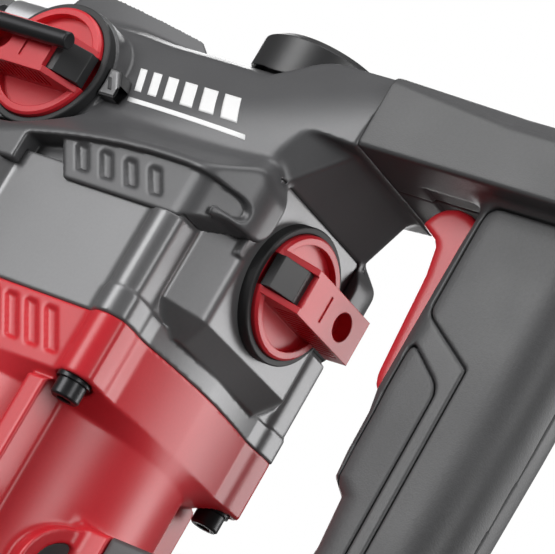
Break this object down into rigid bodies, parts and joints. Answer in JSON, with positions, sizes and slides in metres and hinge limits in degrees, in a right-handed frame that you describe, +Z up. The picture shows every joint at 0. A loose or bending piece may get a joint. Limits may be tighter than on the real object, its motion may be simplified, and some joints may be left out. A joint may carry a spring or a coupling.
{
  "type": "rotary hammer",
  "caption": "Corded L-type rotary hammer with vertical motor, rear D-handle, side handle and depth stop; gear train, crank and hammer mechanism inside.",
  "frame": {"origin": "centre of the flat foot of the motor end cap, on the vertical motor axis, 202 mm below the drilling axis", "axes": "-X along the drilling axis towards the chuck, +X towards the rear handle, +Z up along the motor axis, -Y the left side"},
  "size_m": [0.4594, 0.1953, 0.2605],
  "materials": {
    "shroud_plastic": "satin",
    "housing_metal": "satin",
    "red_plastic": "satin",
    "black_plastic": "matte",
    "handle_plastic": "textured matte",
    "grip_rubber": "textured matte",
    "black_rubber": "matte",
    "black_steel": "satin",
    "bright_steel": "ground",
    "gear_steel": "machined",
    "bearing_steel": "polished",
    "barrel_aluminium": "cast satin",
    "copper": "enamelled",
    "lamination": "laminated",
    "carbon": "matte",
    "brass": "satin"
  },
  "bodies": {
    "tool_body": {"gear_cover": "shroud_plastic", "gear_housing": "housing_metal", "bearing_bridge": "barrel_aluminium", "grease_cap": "black_plastic", "index_block": "black_plastic", "nose_barrel": "barrel_aluminium", "motor_housing": "red_plastic", "end_cap": "black_plastic", "hex_screws": "black_steel", "hex_washers": "black_steel", "stator_core": "lamination", "field_coils": "copper", "brush_holders": "brass", "brushes": "carbon", "brush_caps": "black_plastic", "shaft_bearings": "bearing_steel", "spindle_bearings": "bearing_steel", "knob_seals": "black_rubber", "handle_left": "handle_plastic", "handle_right": "handle_plastic", "grip_pad_left": "grip_rubber", "grip_pad_right": "grip_rubber", "case_screws": "black_steel", "trigger_spring": "bright_steel", "switch_body": "black_plastic", "cord_guard": "black_rubber", "power_cord": "black_rubber"},
    "armature": {"armature_shaft": "gear_steel", "armature_core": "lamination", "armature_windings": "copper", "commutator": "copper", "fan": "black_plastic"},
    "crank_gear": {"crank_gear": "gear_steel"},
    "crankshaft": {"crankshaft": "gear_steel"},
    "conrod": {"conrod": "bright_steel"},
    "piston": {"piston": "barrel_aluminium", "piston_ring": "black_rubber", "wrist_pin": "bright_steel"},
    "bevel_shaft": {"drive_gear": "gear_steel", "bevel_pinion": "gear_steel"},
    "spindle": {"spindle": "gear_steel", "bevel_ring": "gear_steel", "tool_holder": "bright_steel", "locking_balls": "bearing_steel", "sleeve_spring": "bright_steel", "dust_cap": "black_rubber"},
    "striker": {"striker": "bright_steel"},
    "impact_bolt": {"impact_bolt": "bright_steel"},
    "release_sleeve": {"release_sleeve": "black_plastic"},
    "mode_knob": {"mode_knob": "red_plastic"},
    "mode_button": {"mode_button": "black_plastic"},
    "rear_knob": {"rear_knob": "red_plastic"},
    "rear_button": {"rear_button": "black_plastic"},
    "trigger": {"trigger": "red_plastic"},
    "lock_button": {"lock_button": "red_plastic"},
    "side_handle": {"side_clamp": "black_plastic", "clamp_bolt": "bright_steel"},
    "side_grip": {"side_grip": "grip_rubber"},
    "depth_rod": {"depth_rod": "black_steel"},
    "rod_lock_button": {"rod_lock_button": "red_plastic"}
  },
  "joints": [
    {"name": "armature_spin", "type": "hinge", "parent": "tool_body", "child": "armature", "pos_m": [0, 0, 0.072], "axis": [0, 0, 1], "continuous": true},
    {"name": "crank_gear_spin", "type": "hinge", "parent": "tool_body", "child": "crank_gear", "pos_m": [0.024, 0, 0.142], "axis": [0, 0, 1], "continuous": true},
    {"name": "bevel_shaft_spin", "type": "hinge", "parent": "tool_body", "child": "bevel_shaft", "pos_m": [-0.024, 0, 0.152], "axis": [0, 0, 1], "continuous": true},
    {"name": "spindle_spin", "type": "hinge", "parent": "tool_body", "child": "spindle", "pos_m": [-0.1, 0, 0.202], "axis": [1, 0, 0], "continuous": true},
    {"name": "crankshaft_swing", "type": "hinge", "parent": "tool_body", "child": "crankshaft", "pos_m": [0.024, 0, 0.172], "axis": [0, 0, 1], "range_deg": [-20, 20]},
    {"name": "conrod_swing", "type": "hinge", "parent": "crankshaft", "child": "conrod", "pos_m": [0.024, 0.009, 0.202], "axis": [0, 0, 1], "range_deg": [-20.2, 20.2]},
    {"name": "piston_slide", "type": "slide", "parent": "tool_body", "child": "piston", "axis": [1, 0, 0], "range_m": [-0.0032, 0.0032]},
    {"name": "striker_slide", "type": "slide", "parent": "spindle", "child": "striker", "axis": [1, 0, 0], "range_m": [-0.008, 0.004]},
    {"name": "impact_bolt_slide", "type": "slide", "parent": "spindle", "child": "impact_bolt", "axis": [-1, 0, 0], "range_m": [0, 0.005]},
    {"name": "release_sleeve_slide", "type": "slide", "parent": "spindle", "child": "release_sleeve", "axis": [1, 0, 0], "range_m": [0, 0.005], "deforming": ["sleeve_spring"]},
    {"name": "mode_knob_turn", "type": "hinge", "parent": "tool_body", "child": "mode_knob", "pos_m": [-0.045, -0.0425, 0.1986], "axis": [0, -1, 0], "range_deg": [-90, 0]},
    {"name": "mode_button_press", "type": "slide", "parent": "mode_knob", "child": "mode_button", "axis": [0, 1, 0], "range_m": [0, 0.002]},
    {"name": "rear_knob_turn", "type": "hinge", "parent": "tool_body", "child": "rear_knob", "pos_m": [0.0555, 0, 0.1635], "axis": [1, 0, 0], "range_deg": [-90, 90]},
    {"name": "rear_button_press", "type": "slide", "parent": "rear_knob", "child": "rear_button", "axis": [-1, 0, 0], "range_m": [0, 0.002]},
    {"name": "trigger_press", "type": "hinge", "parent": "tool_body", "child": "trigger", "pos_m": [0.123, 0, 0.146], "axis": [0, 1, 0], "range_deg": [0, 5.5], "deforming": ["trigger_spring"]},
    {"name": "lock_button_press", "type": "slide", "parent": "tool_body", "child": "lock_button", "axis": [0, -1, 0], "range_m": [0, 0.002]},
    {"name": "side_handle_swivel", "type": "hinge", "parent": "tool_body", "child": "side_handle", "pos_m": [-0.127, 0, 0.202], "axis": [1, 0, 0], "range_deg": [-100, 6]},
    {"name": "side_grip_twist", "type": "hinge", "parent": "side_handle", "child": "side_grip", "pos_m": [-0.127, 0, 0.202], "axis": [0, -0.766, -0.6428], "range_deg": [-180, 180]},
    {"name": "depth_rod_slide", "type": "slide", "parent": "side_handle", "child": "depth_rod", "axis": [1, 0, 0], "range_m": [-0.06, 0.03]},
    {"name": "rod_lock_button_press", "type": "slide", "parent": "side_handle", "child": "rod_lock_button", "axis": [0, 1, 0], "range_m": [0, 0.0025]}
  ],
  "couplings": [
    {"joint": "crank_gear_spin", "follows": "armature_spin", "ratio": -0.25},
    {"joint": "bevel_shaft_spin", "follows": "armature_spin", "ratio": -0.25},
    {"joint": "spindle_spin", "follows": "armature_spin", "ratio": 0.083333},
    {"joint": "conrod_swing", "follows": "crankshaft_swing", "ratio": -1},
    {"joint": "piston_slide", "follows": "crankshaft_swing", "m_per_rad": -0.009}
  ]
}
